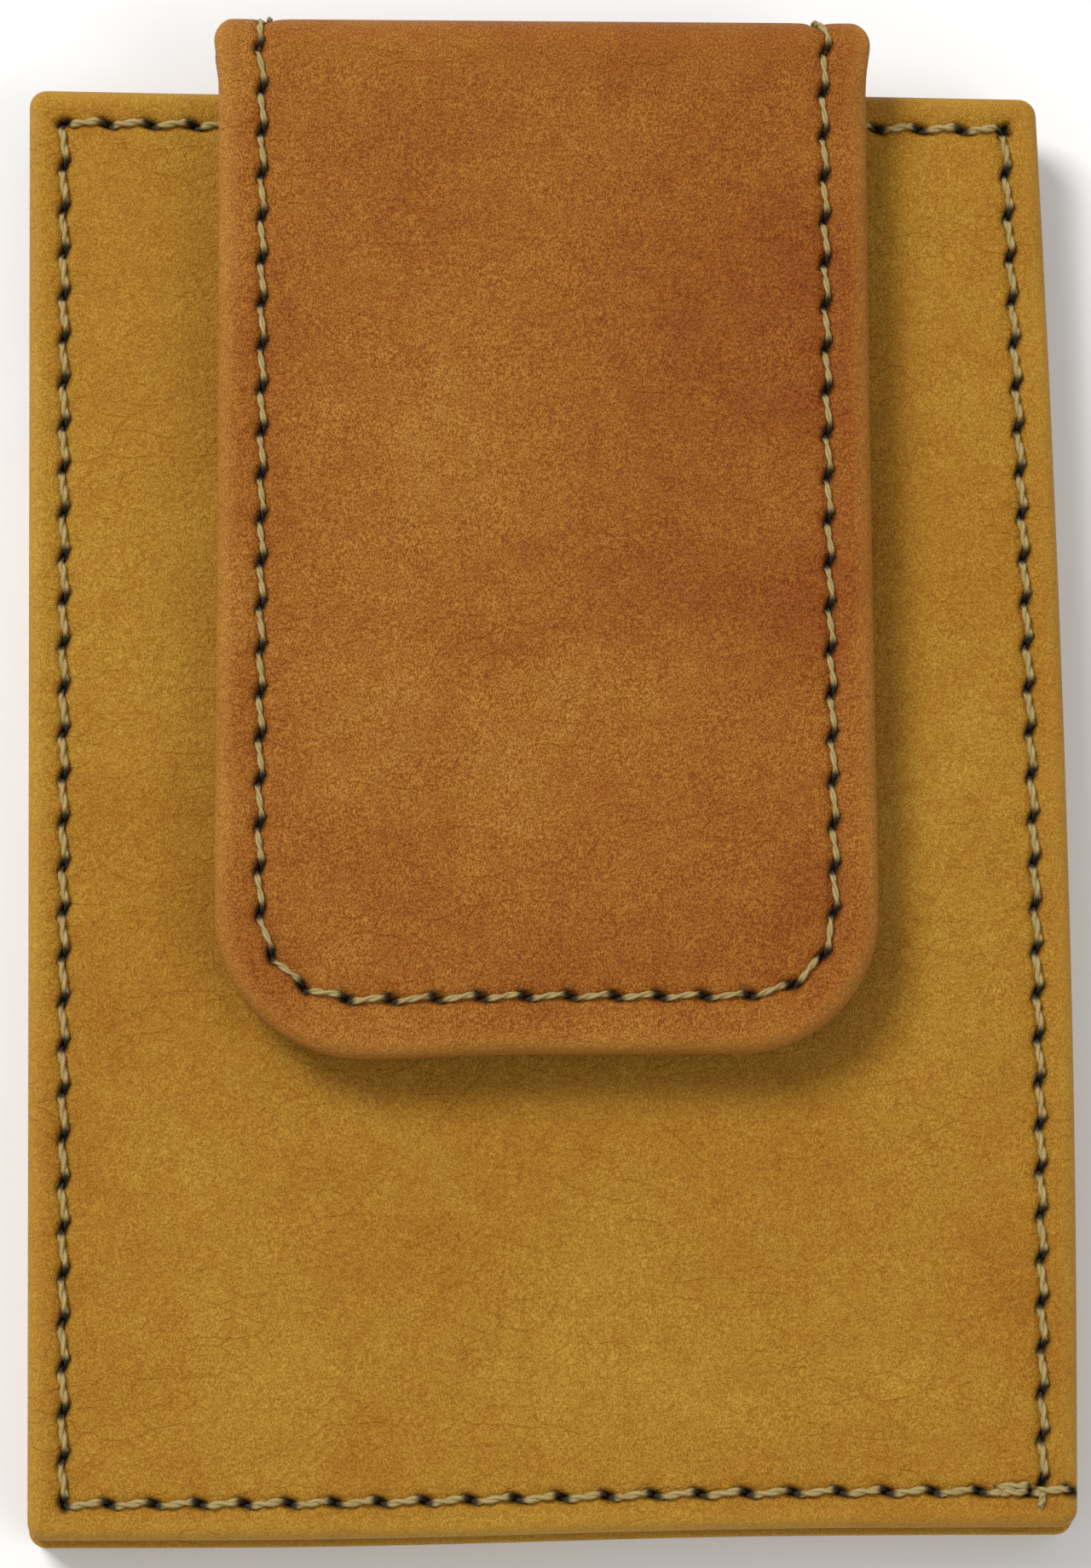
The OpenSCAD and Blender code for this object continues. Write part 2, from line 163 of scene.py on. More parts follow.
def ripple(x, y, seed=0.0):
    """Gentle unevenness from -1 to 1, with waves 7 to 18 mm long, the same on every run."""
    return (
        np.sin(0.31 * x + 0.17 * y + seed)
        + np.sin(0.11 * x - 0.37 * y + 2.1 * seed + 1)
        + np.sin(0.62 * x + 0.49 * y + 3.3 * seed + 2)
        + np.sin(0.83 * y - 0.28 * x + seed + 4)
    ) / 4


# ---------------------------------------------------------------- places read from the CAD

face_low, face_high = node_box("face_panel")
edge_low, _ = node_box("face_turned_edges")
back_low, _ = node_box("back_panel")
upper_low, upper_high = node_box("upper_card_slot")
middle_low, middle_high = node_box("middle_card_slot")
frame_low, frame_high = node_box("window_frame")
sheet_low, sheet_high = node_box("window_sheet")
glass_low, glass_high = node_box("window_seam_thread")
base_low, _ = node_box("base_leather")
flap_low, flap_high = node_box("flap_leather")
fold_low, fold_high = node_box("fold_leather")

CASE_HALF = face_high[0]
CASE_TOP = face_high[1]
FACE_BOTTOM = face_low[1]
CASE_BOTTOM = back_low[1]
STRAP_HALF = flap_high[0]
FOLD_RADIUS = (fold_high[2] - fold_low[2]) / 2
FOLD_Y = fold_high[1] - FOLD_RADIUS
FOLD_Z = (fold_high[2] + fold_low[2]) / 2
QUARTER = FOLD_RADIUS * math.pi / 2
FLAP_END = QUARTER + FOLD_Y - flap_low[1]
BASE_END = -(QUARTER + FOLD_Y - base_low[1])
WINDOW_HALF = glass_high[0] - WINDOW_SEAM
WINDOW_LOW = glass_low[1] + WINDOW_SEAM
WINDOW_HIGH = glass_high[1] - WINDOW_SEAM


# ---------------------------------------------------------------- materials


class Graph:
    """A material's node tree, built a node at a time."""

    def __init__(self, name):
        self.material = bpy.data.materials.new(name)
        self.material.use_nodes = True
        self.tree = self.material.node_tree
        self.tree.nodes.clear()
        self.shader = self.add("ShaderNodeBsdfPrincipled")
        output = self.add("ShaderNodeOutputMaterial")
        self.tree.links.new(self.shader.outputs[0], output.inputs[0])

    def add(self, kind, inputs=None, **settings):
        node = self.tree.nodes.new(kind)
        for key, value in settings.items():
            setattr(node, key, value)
        for key, value in (inputs or {}).items():
            self.put(node.inputs[key], value)
        return node

    def put(self, socket, value):
        if isinstance(value, bpy.types.NodeSocket):
            self.tree.links.new(value, socket)
        else:
            socket.default_value = value

    def set(self, **inputs):
        """Sets or links the shader's sockets; an underscore stands for a space."""
        for key, value in inputs.items():
            self.put(self.shader.inputs[key.replace("_", " ")], value)

    def attribute(self, name):
        return self.add("ShaderNodeAttribute", attribute_name=name)

    def place(self, rotation=0, scale=(1, 1, 1)):
        """The piece's own flat place, in millimetres, turned and stretched."""
        flat = self.attribute("flat").outputs["Vector"]
        inputs = {"Vector": flat, "Rotation": (0, 0, math.radians(rotation)), "Scale": scale}
        return self.add("ShaderNodeMapping", inputs).outputs[0]

    def noise(self, vector, scale, detail=3, roughness=0.55, distortion=0):
        inputs = {"Vector": vector, "Scale": scale, "Detail": detail}
        inputs.update({"Roughness": roughness, "Distortion": distortion})
        return self.add("ShaderNodeTexNoise", inputs).outputs["Fac"]

    def bent(self, vector, scale, amount):
        """A place pushed about by slow noise, so that what is drawn on it wanders."""
        push = self.add("ShaderNodeTexNoise", {"Vector": vector, "Scale": scale, "Detail": 3.0})
        inputs = {0: push.outputs["Color"], 1: (amount, amount, 0), 2: vector}
        return self.add("ShaderNodeVectorMath", inputs, operation="MULTIPLY_ADD").outputs[0]

    def cells(self, vector, scale, feature="F1"):
        inputs = {"Vector": vector, "Scale": scale}
        return self.add("ShaderNodeTexVoronoi", inputs, feature=feature).outputs["Distance"]

    def sum(self, *terms):
        """Adds (value, weight) pairs."""
        total = 0.0
        for value, weight in terms:
            inputs = {0: value, 1: weight, 2: total}
            total = self.add("ShaderNodeMath", inputs, operation="MULTIPLY_ADD").outputs[0]
        return total

    def times(self, a, b):
        return self.add("ShaderNodeMath", {0: a, 1: b}, operation="MULTIPLY").outputs[0]

    def span(self, value, low, high, to_low=0.0, to_high=1.0):
        """Maps low..high to to_low..to_high, clamped."""
        inputs = {"Value": value, "From Min": low, "From Max": high}
        inputs.update({"To Min": to_low, "To Max": to_high})
        return self.add("ShaderNodeMapRange", inputs).outputs[0]

    def ramp(self, value, *stops):
        """Colour ramp with (position, colour) stops."""
        node = self.add("ShaderNodeValToRGB", {"Fac": value})
        elements = node.color_ramp.elements
        for index, (position, colour) in enumerate(stops):
            element = elements[index] if index < 2 else elements.new(position)
            element.position = position
            element.color = (*colour, 1)
        return node.outputs[0]

    def mix(self, share, a, b, blend="MIX"):
        node = self.add("ShaderNodeMix", data_type="RGBA", blend_type=blend)
        for socket, value in ((node.inputs[0], share), (node.inputs[6], a), (node.inputs[7], b)):
            if isinstance(value, tuple):
                value = (*value, 1)
            self.put(socket, value)
        return node.outputs[2]

    def bump(self, height, distance):
        inputs = {"Height": height, "Strength": 1.0, "Distance": distance * MM}
        self.set(Normal=self.add("ShaderNodeBump", inputs).outputs[0])


def leather(name, dark, base, light, fleck, turn=20, grain=1.0):
    """Waxed leather: a fine pebbled grain full of flecks, cloudy dye, pores, a few veins, cracks and
    creases, edges paler, partly from rubbing and partly painted highlight on their rounded crest, and
    painted shade in the needle holes. turn is which way its creases run, in degrees, and grain how deep
    its relief is."""
    g = Graph(name)
    flat = g.place()
    cloud = g.noise(flat, 0.06, 4, 0.6, 0.6)
    mottle = g.noise(flat, 0.5, 4, 0.65)
    speckle = g.noise(flat, 1.9, 3, 0.8)
    dust = g.noise(flat, 4.4, 3, 0.75)
    veins = g.cells(g.bent(flat, 0.12, 9), 0.06, "DISTANCE_TO_EDGE")
    cracks = g.cells(g.bent(g.place(turn, (0.7, 1.3, 1)), 0.9, 1.3), 0.5, "DISTANCE_TO_EDGE")
    cracks = g.times(g.span(cracks, 0.0, 0.05, 1.0, 0.0), g.span(g.noise(flat, 0.15), 0.4, 0.62))
    creases = g.noise(g.place(turn, (1.2, 0.35, 1)), 0.9, 5, 0.62, 0.7)
    tone = g.attribute("tone").outputs["Fac"]
    dye = ((cloud, 1.1), (mottle, 0.6), (speckle, 0.45), (dust, 1.15), (creases, 0.14), (tone, 1.7))
    colour = g.ramp(g.span(g.sum(*dye), 1.05, 2.39), (0.0, dark), (0.5, base), (1.0, light))
    hatch = g.noise(g.place(GRAIN_TURN, (1, 0.6, 1)), 12, 1, 0.6)
    fine = g.span(g.sum((hatch, 1.0), (dust, 0.3)), 0.55, 0.76)
    colour = g.mix(1.0, colour, g.ramp(fine, (0.0, fleck), (1.0, (1, 1, 1))), "MULTIPLY")
    pores = g.span(g.cells(g.place(turn, (1, 1.25, 1)), 2.4), 0.08, 0.3, 0.8, 0.0)
    colour = g.mix(g.times(pores, g.span(speckle, 0.42, 0.56)), colour, dark)
    vein = g.span(veins, 0.0, 0.03, 0.22, 0.0)
    colour = g.mix(g.times(vein, g.span(cloud, 0.45, 0.62)), colour, dark)
    colour = g.mix(g.times(cracks, 0.4), colour, dark)
    inset = g.attribute("edge").outputs["Fac"]
    # Paler rim near the edge: partly rubbing, partly painted highlight on the rounded edge's crest
    rubbed_and_highlit = g.span(g.sum((inset, 1.0), (mottle, 1.4)), 0.8, 2.2, 0.3, 0.0)
    colour = g.mix(rubbed_and_highlit, colour, light)
    # Painted shade in the needle holes: the colour goes nearly black there
    pits = g.attribute("pit").outputs["Fac"]
    g.set(Base_Color=g.mix(pits, colour, HOLE_SHADE_COLOUR))
    g.set(Roughness=g.sum((mottle, 0.2), (speckle, 0.2), (pits, 0.2), (0.34, 1.0)))
    g.set(Specular_IOR_Level=0.13)
    pebble = g.cells(g.place(turn, (1.0, 1.3, 1)), 2.2, "SMOOTH_F1")
    fine_relief = ((pebble, 0.6), (speckle, 0.6), (dust, 0.6), (hatch, 0.7))
    broad_relief = ((creases, 0.8), (mottle, 0.7), (cracks, -0.5))
    g.bump(g.sum(*fine_relief, *broad_relief), 0.1 * grain)
    return g.material


def thread(name):
    """Khaki waxed polyester thread: fine fibres that follow the ply, darker between the plies."""
    g = Graph(name)
    fibre = g.noise(g.place(30, (6, 0.9, 3)), 2.2, 3, 0.7)
    fleck = g.noise(g.place(), 0.9, 3, 0.6)
    value = g.span(g.sum((fibre, 0.7), (fleck, 0.5)), 0.3, 0.9)
    stops = ((0.0, (0.16, 0.105, 0.03)), (0.5, (0.39, 0.29, 0.105)), (1.0, (0.6, 0.48, 0.22)))
    colour = g.ramp(value, *stops)
    # Painted shade on the thread's ends, where they dive into the needle holes
    g.set(Base_Color=g.mix(g.attribute("pit").outputs["Fac"], colour, (0.022, 0.011, 0.003)))
    g.set(Roughness=g.span(fibre, 0.2, 0.8, 0.5, 0.75), Sheen_Weight=0.1, Specular_IOR_Level=0.22)
    g.bump(fibre, 0.03)
    return g.material


def woven(name, dark, light):
    """Plain-weave lining cloth: crossed warp and weft, 0.35 mm apart."""
    g = Graph(name)
    place = g.place()
    warp = g.add("ShaderNodeTexWave", {"Vector": place, "Scale": 0.9, "Distortion": 0.15})
    weft = g.add("ShaderNodeTexWave", {"Vector": place, "Scale": 0.9, "Distortion": 0.15})
    weft.bands_direction = "Y"
    weave = g.times(warp.outputs["Fac"], weft.outputs["Fac"])
    slub = g.noise(g.place(0, (1, 0.12, 1)), 1.3, 3, 0.6)
    colour = g.ramp(g.sum((weave, 0.7), (slub, 0.45)), (0.1, dark), (0.9, light))
    g.set(Base_Color=colour, Roughness=g.span(slub, 0.2, 0.8, 0.75, 0.92), Sheen_Weight=0.2)
    g.bump(weave, 0.06)
    return g.material


def pressed_board(name):
    """Grey-brown fibre board, with flecks and a felted surface."""
    g = Graph(name)
    fibres = g.noise(g.place(20, (3, 0.5, 1)), 1.6, 5, 0.7, 0.4)
    flecks = g.noise(g.place(), 1.1, 3, 0.7)
    stops = ((0.2, (0.16, 0.12, 0.075)), (0.85, (0.42, 0.35, 0.25)))
    g.set(Base_Color=g.ramp(g.sum((fibres, 0.6), (flecks, 0.4)), *stops))
    g.set(Roughness=g.span(flecks, 0.2, 0.8, 0.8, 0.95))
    g.bump(fibres, 0.05)
    return g.material


def nickel(name):
    """Nickel plate on the magnets: bright, with fine rubbing marks and dull patches."""
    g = Graph(name)
    scratches = g.noise(g.place(15, (9, 0.4, 1)), 1.5, 4, 0.7)
    patches = g.noise(g.place(), 0.3, 3, 0.6)
    stops = ((0.3, (0.47, 0.45, 0.42)), (0.7, (0.66, 0.65, 0.63)))
    g.set(Base_Color=g.ramp(patches, *stops), Metallic=1.0)
    g.set(Roughness=g.sum((scratches, 0.25), (patches, 0.15), (0.1, 1.0)))
    g.bump(scratches, 0.01)
    return g.material


def vinyl(name):
    """Clear vinyl window: slightly yellowed, with hazy rub marks and shallow ripples."""
    g = Graph(name)
    haze = g.noise(g.place(60, (2.5, 0.25, 1)), 0.6, 5, 0.65, 0.5)
    waves = g.noise(g.place(), 0.09, 2, 0.5)
    g.set(Base_Color=g.ramp(haze, (0.3, (0.9, 0.91, 0.86)), (0.8, (0.97, 0.975, 0.95))))
    g.set(Roughness=g.span(haze, 0.35, 0.75, 0.06, 0.3), Transmission_Weight=0.92, IOR=1.5)
    g.bump(g.sum((waves, 1.0), (haze, 0.05)), 0.5)
    return g.material


# ---------------------------------------------------------------- meshes


def mesh_piece(name, points, faces, material, slot, **layers):
    """Makes a piece from points in millimetres. Points in the same place become one."""
    _, keep, where = np.unique(np.round(points, 5), axis=0, return_index=True, return_inverse=True)
    where = where.ravel()
    joined = (tuple(dict.fromkeys(face)) for face in where[np.asarray(faces)].tolist())
    mesh = bpy.data.meshes.new(name)
    mesh.from_pydata((points[keep] * MM).tolist(), [], [f for f in joined if len(f) > 2])
    for key, values in layers.items():
        kind = "FLOAT_VECTOR" if values.ndim == 2 else "FLOAT"
        layer = mesh.attributes.new(key, kind, "POINT")
        field = "vector" if values.ndim == 2 else "value"
        layer.data.foreach_set(field, values[keep].astype(np.float32).ravel())
    work = bmesh.new()
    work.from_mesh(mesh)
    bmesh.ops.recalc_face_normals(work, faces=work.faces)
    work.to_mesh(mesh)
    work.free()
    mesh.shade_smooth()
    mesh.materials.append(material)
    piece = bpy.data.objects.new(name, mesh)
    bpy.context.scene.collection.objects.link(piece)
    return piece


def rounded(half, low, high, low_r, high_r, counts=None, side=None):
    """Closed outline, counter-clockwise, mirror-equal about x = 0, from the middle of the lower edge.
    counts are the points on the lower edge's half, a corner, a side, a corner and the upper half;
    side, if given, is the heights of the side's points."""
    arc_low, arc_high = low_r * math.pi / 2, high_r * math.pi / 2
    runs = (half - low_r, arc_low, high - low - low_r - high_r, arc_high, half - high_r)
    counts = counts or [max(4, round(run / STEP)) for run in runs]
    if side is None:
        side = np.linspace(low + low_r, high - high_r, counts[2] + 1)
    a, b = (np.linspace(0, math.pi / 2, n + 1)[1:] for n in (counts[1], counts[3]))
    x = [np.linspace(0, half - low_r, counts[0] + 1), half - low_r + low_r * np.sin(a)]
    y = [np.full(counts[0] + 1, low), low + low_r - low_r * np.cos(a)]
    x += [np.full(len(side) - 1, half), half - high_r + high_r * np.cos(b)]
    y += [side[1:], high - high_r + high_r * np.sin(b)]
    x.append(np.linspace(half - high_r, 0, counts[4] + 1)[1:])
    y.append(np.full(counts[4], high))
    right_half = np.stack([np.concatenate(x), np.concatenate(y)], 1)
    left_half = right_half[-2:0:-1] * [-1, 1]
    return np.concatenate([right_half, left_half])


def spine(rim, half):
    """For each outline point, the point of the middle line that the rings close in on."""
    low, high = rim[:, 1].min() + half, rim[:, 1].max() - half
    return np.stack([np.zeros(len(rim)), np.clip(rim[:, 1], low, high)], 1)


def inward(rim):
    """Unit normals that point into a counter-clockwise outline."""
    along = np.roll(rim, -1, 0) - np.roll(rim, 1, 0)
    normal = np.stack([-along[:, 1], along[:, 0]], 1)
    return normal / np.linalg.norm(normal, axis=1)[:, None]


class Slab:
    """A sheet of leather or cloth as rings of points, from its middle over its face, round its edge
    and back along its underside. rim is its outline, core the point that each ring point closes in
    on, roll the radius of its upper edge and insets how far in from the edge its rings lie. With
    hole_roll, core is the outline of a hole. xy is each point's flat place, depth how far below the
    face it is, and inset how far from the edge."""

    def __init__(self, rim, core, thickness, roll, insets, hole_roll=0):
        self.rim, self.core, self.thickness, self.hole = rim, core, thickness, bool(hole_roll)
        self.normal = inward(rim)
        self.edge = np.max(roll)
        self.start = rim + self.normal * self.edge
        reach = ((core - self.start) * self.normal).sum(1)
        self.typical = np.median(reach) + self.edge
        self.reach = np.maximum(reach, np.median(reach))
        self.rings = []
        if self.hole:
            self.add_hole_edge(hole_roll)
        else:
            self.add_flat_ring(self.typical, 0.0)
        for distance in sorted(insets, reverse=True):
            if self.edge < distance < self.typical - hole_roll:
                self.add_flat_ring(distance, 0.0)
        self.add_edge(roll)
        for distance in (self.edge + 0.3, TURNED_WIDTH, TURNED_WIDTH + HEM_STEP, self.typical):
            self.add_flat_ring(min(distance, self.typical), thickness)
        self.xy, self.depth, self.inset = (np.array(column) for column in zip(*self.rings))

    def add_ring(self, place, below, distance):
        below, distance = (np.broadcast_to(v, len(self.rim)).astype(float) for v in (below, distance))
        self.rings.append((place, below, distance))

    def add_flat_ring(self, distance, below):
        """A ring on the face or the underside, part of the way from the edge to the core. Near the
        edge it keeps its distance from the rim, and near the core its distance from the core."""
        near = (distance - self.edge) / self.reach
        far = 1 - (self.typical - distance) / self.reach
        share = np.clip(near if distance < self.typical / 2 else far, 0, 1)[:, None]
        self.add_ring(self.start + (self.core - self.start) * share, below, distance)

    def add_hole_edge(self, hole_roll):
        """Rings round the hole's edge, from its side up to the face."""
        for angle in np.linspace(0, math.pi / 2, 5):
            shift = hole_roll * (1 - math.sin(angle))
            share = 1 - (hole_roll - shift) / self.reach[:, None]
            self.add_ring(self.start + (self.core - self.start) * share, shift, self.typical)

    def add_edge(self, roll):
        """Rings round the upper edge, down the side and round the lower edge."""
        for angle in np.linspace(0, math.pi / 2, 8):
            shift = roll * (1 - math.sin(angle))
            place = self.rim + self.normal * np.asarray(shift)[..., None]
            self.add_ring(place, roll * (1 - math.cos(angle)), shift)
        under = np.minimum(UNDER_ROLL, self.thickness / 3)
        for angle in np.linspace(0, math.pi / 2, 4):
            shift = under * (1 - math.cos(angle))
            place = self.rim + self.normal * np.asarray(shift)[..., None]
            self.add_ring(place, self.thickness - under * (1 - math.sin(angle)), shift)

    def press(self, relief):
        """Presses a relief, in millimetres below the face, into the face; it fades out down the sides."""
        share = 1 - smooth(self.depth / np.minimum(self.thickness, SIDE_FADE))
        self.depth = self.depth + relief * share

    def faces(self):
        """Quads between the rings. Round a hole, the last ring joins the first."""
        index = np.arange(self.depth.size).reshape(self.depth.shape)
        a, b = (index, np.roll(index, -1, 0)) if self.hole else (index[:-1], index[1:])
        return np.stack([a, b, np.roll(b, -1, 1), np.roll(a, -1, 1)], -1).reshape(-1, 4)


def slab_piece(name, slab, points, material, slot, pit, tone):
    """Makes a slab's piece. It carries its flat place, its distance from the edge, how much painted
    shade darkens its needle holes and how light its tone is, which holds dye marks and in places
    painted shade or highlight."""
    flat = np.concatenate([slab.xy, slab.depth[..., None]], -1)
    return mesh_piece(
        name, points.reshape(-1, 3), slab.faces(), material, slot,
        flat=flat.reshape(-1, 3), edge=slab.inset.ravel(), pit=pit.ravel(), tone=tone.ravel(),
    )


# ---------------------------------------------------------------- seams


def corner_path(corners, radius):
    """A line through corners, each inner one rounded to radius."""
    corners = [np.array(c, float) for c in corners]
    path = [corners[0]]
    for before, here, after in zip(corners, corners[1:], corners[2:]):
        to_before = (before - here) / np.linalg.norm(before - here)
        to_after = (after - here) / np.linalg.norm(after - here)
        for t in np.linspace(0, 1, 9):
            path.append(here + radius * ((1 - t) ** 2 * to_before + t * t * to_after))
    path.append(corners[-1])
    return np.array(path)


def needle_holes(path):
    """Evenly spaced holes along a path, about PITCH apart."""
    steps = np.linalg.norm(np.diff(path, axis=0), axis=1)
    along = np.concatenate([[0], np.cumsum(steps)])
    where = np.linspace(0, along[-1], max(2, round(along[-1] / PITCH)) + 1)
    return np.stack([np.interp(where, along, path[:, axis]) for axis in (0, 1)], 1)


def square_seam(corners):
    """Holes along straight runs, with a hole at each corner."""
    runs = [needle_holes(np.array(ends, float)) for ends in zip(corners[:-1], corners[1:])]
    return np.concatenate([runs[0]] + [run[1:] for run in runs[1:]])


def pulled_in(xy, holes, channel=0.14, hole_depth=0.7, hand=1):
    """How deep a seam pulls the leather in, and how much painted shade darkens its needle holes, at each
    point. The holes lean against the slant of the stitches; hand is -1 where the flat place is a mirror
    image."""
    points = xy.reshape(-1, 2)
    low, high = holes.min(0) - SEAM_REACH, holes.max(0) + SEAM_REACH
    near = np.flatnonzero((points > low).all(1) & (points < high).all(1))
    close = points[near]
    nearest = np.full(len(points), 1e9)
    for start, step in zip(holes[:-1], np.diff(holes, axis=0)):
        offset = close - start
        t = np.clip(offset @ step / (step @ step), 0, 1)
        distance = np.linalg.norm(offset - t[:, None] * step, axis=1)
        nearest[near] = np.minimum(nearest[near], distance)
    dark, tuck = np.zeros(len(points)), np.zeros(len(points))
    along = np.gradient(holes, axis=0)
    along /= np.linalg.norm(along, axis=1)[:, None]
    for hole, tangent in zip(holes, along):
        across = np.array([-tangent[1], tangent[0]])
        offset = close - hole
        u, v = offset @ tangent, offset @ across + HOLE_LEAN * hand * (offset @ tangent)
        dark[near] = np.maximum(dark[near], np.exp(-((u / HOLE_LENGTH) ** 4) - (v / HOLE_WIDTH) ** 2))
        tuck[near] = np.maximum(tuck[near], np.exp(-(u * u + v * v) / TUCK_SPREAD))
    depth = channel * np.exp(-((nearest / CHANNEL_WIDTH) ** 2)) + TUCK_DEPTH * tuck + hole_depth * dark
    return depth.reshape(xy.shape[:-1]), np.clip(1.9 * dark - 0.15, 0, 1).reshape(xy.shape[:-1])


def tube_faces(index):
    """Faces round tubes and over their ends. index numbers the points by tube, section and side."""
    sides = index.shape[-1]
    a, b = index[..., :-1, :], index[..., 1:, :]
    tube = np.stack([a, b, np.roll(b, -1, -1), np.roll(a, -1, -1)], -1).reshape(-1, 4)
    ends = index[..., [0, -1], :].reshape(-1, sides)
    caps = [ends[:, [0, k, k + 1, min(k + 2, sides - 1)]] for k in range(1, sides - 1, 2)]
    return np.concatenate([tube, *caps])


def stitches(name, runs, place, hand=1, lift=0.0, weight=1.0):
    """Two-ply twisted stitches. Each run is the (start, end) of one stitch in flat places; place turns
    flat places and heights above the face into points of the frame; hand is -1 where the flat place is
    a mirror image; lift raises the stitches and weight scales their thread."""
    sections, sides = 17, 7
    t = np.linspace(0, 1, sections)[None, :]
    start, end = (np.array([run[i] for run in runs], float) for i in (0, 1))
    along = end - start
    across = np.stack([-along[:, 1], along[:, 0]], 1) / np.linalg.norm(along, axis=1)[:, None]
    slant = hand * STITCH_SLANT * (2 * t - 1)
    centre = start[:, None] + along[:, None] * t[..., None] + across[:, None] * slant[..., None]
    end_near = np.abs(2 * t - 1)
    dive = STITCH_DIVE * smooth((end_near - DIVE_START) / DIVE_LENGTH)
    rise = lift + STITCH_ARCH * (1 - end_near**3) - dive
    spin = np.arange(len(runs))[:, None] * SPIN_STEP
    ring = np.linspace(0, 2 * math.pi, sides, endpoint=False)
    points, flats = [], []
    for ply in (0, 1):
        twist = 2 * math.pi * PLY_TURNS * t + ply * math.pi + spin
        side = weight * (PLY_OFFSET * np.cos(twist)[..., None] + PLY_RADIUS * np.cos(ring))
        up = weight * (PLY_OFFSET * np.sin(twist)[..., None] + PLY_RADIUS * np.sin(ring))
        flat = centre[:, :, None] + across[:, None, None] * side[..., None]
        points.append(place(flat, rise[..., None] + up))
        lay = np.broadcast_to(t[..., None] * 3 + spin[..., None] * 7, side.shape)
        turn = np.broadcast_to(ring, side.shape)
        flats.append(np.stack([lay, turn + 2 * t[..., None], side], -1))
    points, flats = np.stack(points), np.stack(flats)
    index = np.arange(points[..., 0].size).reshape(points.shape[:-1])
    # How far each stitch's end lies in its needle hole; it sets the painted shade on the thread there
    buried = smooth((np.broadcast_to(end_near[None, :, :, None], index.shape) - DIVE_START) / 0.25)
    return mesh_piece(
        name, points.reshape(-1, 3), tube_faces(index), thread_material, "thread",
        flat=flats.reshape(-1, 3), pit=0.95 * buried.reshape(-1),
    )


def pairs(holes):
    """The stitches between neighbouring holes."""
    return list(zip(holes[:-1], holes[1:]))


# ---------------------------------------------------------------- case


def settle(points):
    """Bows the case's right edge, as the open side of the pocket does, and skews and wavers its outline
    a little."""
    x, y = points[..., 0] / CASE_HALF, points[..., 1]
    above = (y - MOUTH_BULGE_Y) / (CASE_TOP - MOUTH_BULGE_Y)
    below = 0.5 * (MOUTH_BULGE_Y - y) / (MOUTH_BULGE_Y - CASE_BOTTOM)
    bow = MOUTH_BULGE - MOUTH_BOW * np.maximum(above, below).clip(0) ** 1.8
    moved = points.copy()
    moved[..., 0] += smooth(x) * bow - smooth(-x) * SKEW * y / CASE_TOP
    moved[..., 1] += SKEW * x * smooth(-y / CASE_TOP) + WAVER * np.sin(points[..., 0] / 9)
    return moved


def case_place(face_z, sign):
    """Places flat points and heights above a face that looks along sign z."""

    def place(xy, height):
        return settle(np.concatenate([xy, (face_z + sign * height)[..., None]], -1))

    return place


def case_slab(name, slab, face_z, sign, material, relief, pit, tone, slot="case_leather"):
    """Presses a relief into a slab of the case and makes its piece."""
    slab.press(relief)
    points = case_place(face_z, sign)(slab.xy, -slab.depth)
    return slab_piece(name, slab, points, material, slot, pit, tone)


def seams_relief(xy, seams, **options):
    """What pulled_in() gives for several seams together."""
    depth, dark = np.zeros(xy.shape[:-1]), np.zeros(xy.shape[:-1])
    for holes in seams:
        pulled, pits = pulled_in(xy, holes, **options)
        depth, dark = np.maximum(depth, pulled), np.maximum(dark, pits)
    return depth, dark


def soft_mark(xy, x, y, across, along, turn=0.0):
    """A soft blot, 1 at its centre x, y. across and along are its half-widths, and turn, in degrees,
    is how far it is turned."""
    c, s = math.cos(math.radians(turn)), math.sin(math.radians(turn))
    dx, dy = xy[..., 0] - x, xy[..., 1] - y
    return np.exp(-(((c * dx + s * dy) / across) ** 2) - ((-s * dx + c * dy) / along) ** 2)


def soft_marks(xy, *marks):
    """Soft blots together: dye marks, and in places painted shade or highlight. Each mark is how much it
    lightens the colour, and then soft_mark()'s numbers.
    """
    return sum(strength * soft_mark(xy, *mark) for strength, *mark in marks)


# How far in from the edge a case leather's rings of points lie, closest together round its seam
SEAM_INSETS = [1.1, 1.4, 1.65, 1.85, 2.05, 2.2, 2.35, 2.5, 2.65, 2.8, 3.0, 3.25, 3.5, 3.8, 4.2]
BROAD_INSETS = [5, 6, 7.2, 8.6, 10.2, 12, 14, 16.2, 18.6, 21.2, 24, 27, 30, 33]
CASE_INSETS = SEAM_INSETS + BROAD_INSETS + [CASE_HALF]

# Soft marks on the face leather: dye blots, and painted shade under and beside the strap
FACE_STAINS_AND_SHADE = (  # how much lighter, x, y, across and along
    (-0.1, -16, -46, 10, 3),
    (-0.12, 31, -40, 5, 12),
    (-0.06, 0, 18, 26, 44),  # painted shade under and beside the strap
    (0.08, 0, -42, 20, 7),
    (-0.1, -34, -30, 3, 14),
)

case_leather = leather(
    "case_leather",
    dark=(0.35, 0.115, 0.007),
    base=(0.46, 0.236, 0.025),
    light=(0.587, 0.367, 0.057),
    fleck=(0.66, 0.56, 0.25),
    turn=35,
)
strap_leather = leather(
    "strap_leather",
    dark=(0.275, 0.059, 0.0045),
    base=(0.424, 0.162, 0.02),
    light=(0.549, 0.279, 0.051),
    fleck=(0.5, 0.36, 0.1),
    turn=60,
)
inner_leather = leather(
    "strap_inner_leather",
    dark=(0.125, 0.047, 0.008),
    base=(0.27, 0.11, 0.02),
    light=(0.385, 0.18, 0.04),
    fleck=(0.75, 0.68, 0.5),
    grain=0.8,
)
thread_material = thread("thread")
lining_cloth = woven("woven_lining", (0.035, 0.022, 0.012), (0.15, 0.105, 0.06))
board_material = pressed_board("board")
magnet_material = nickel("magnet")
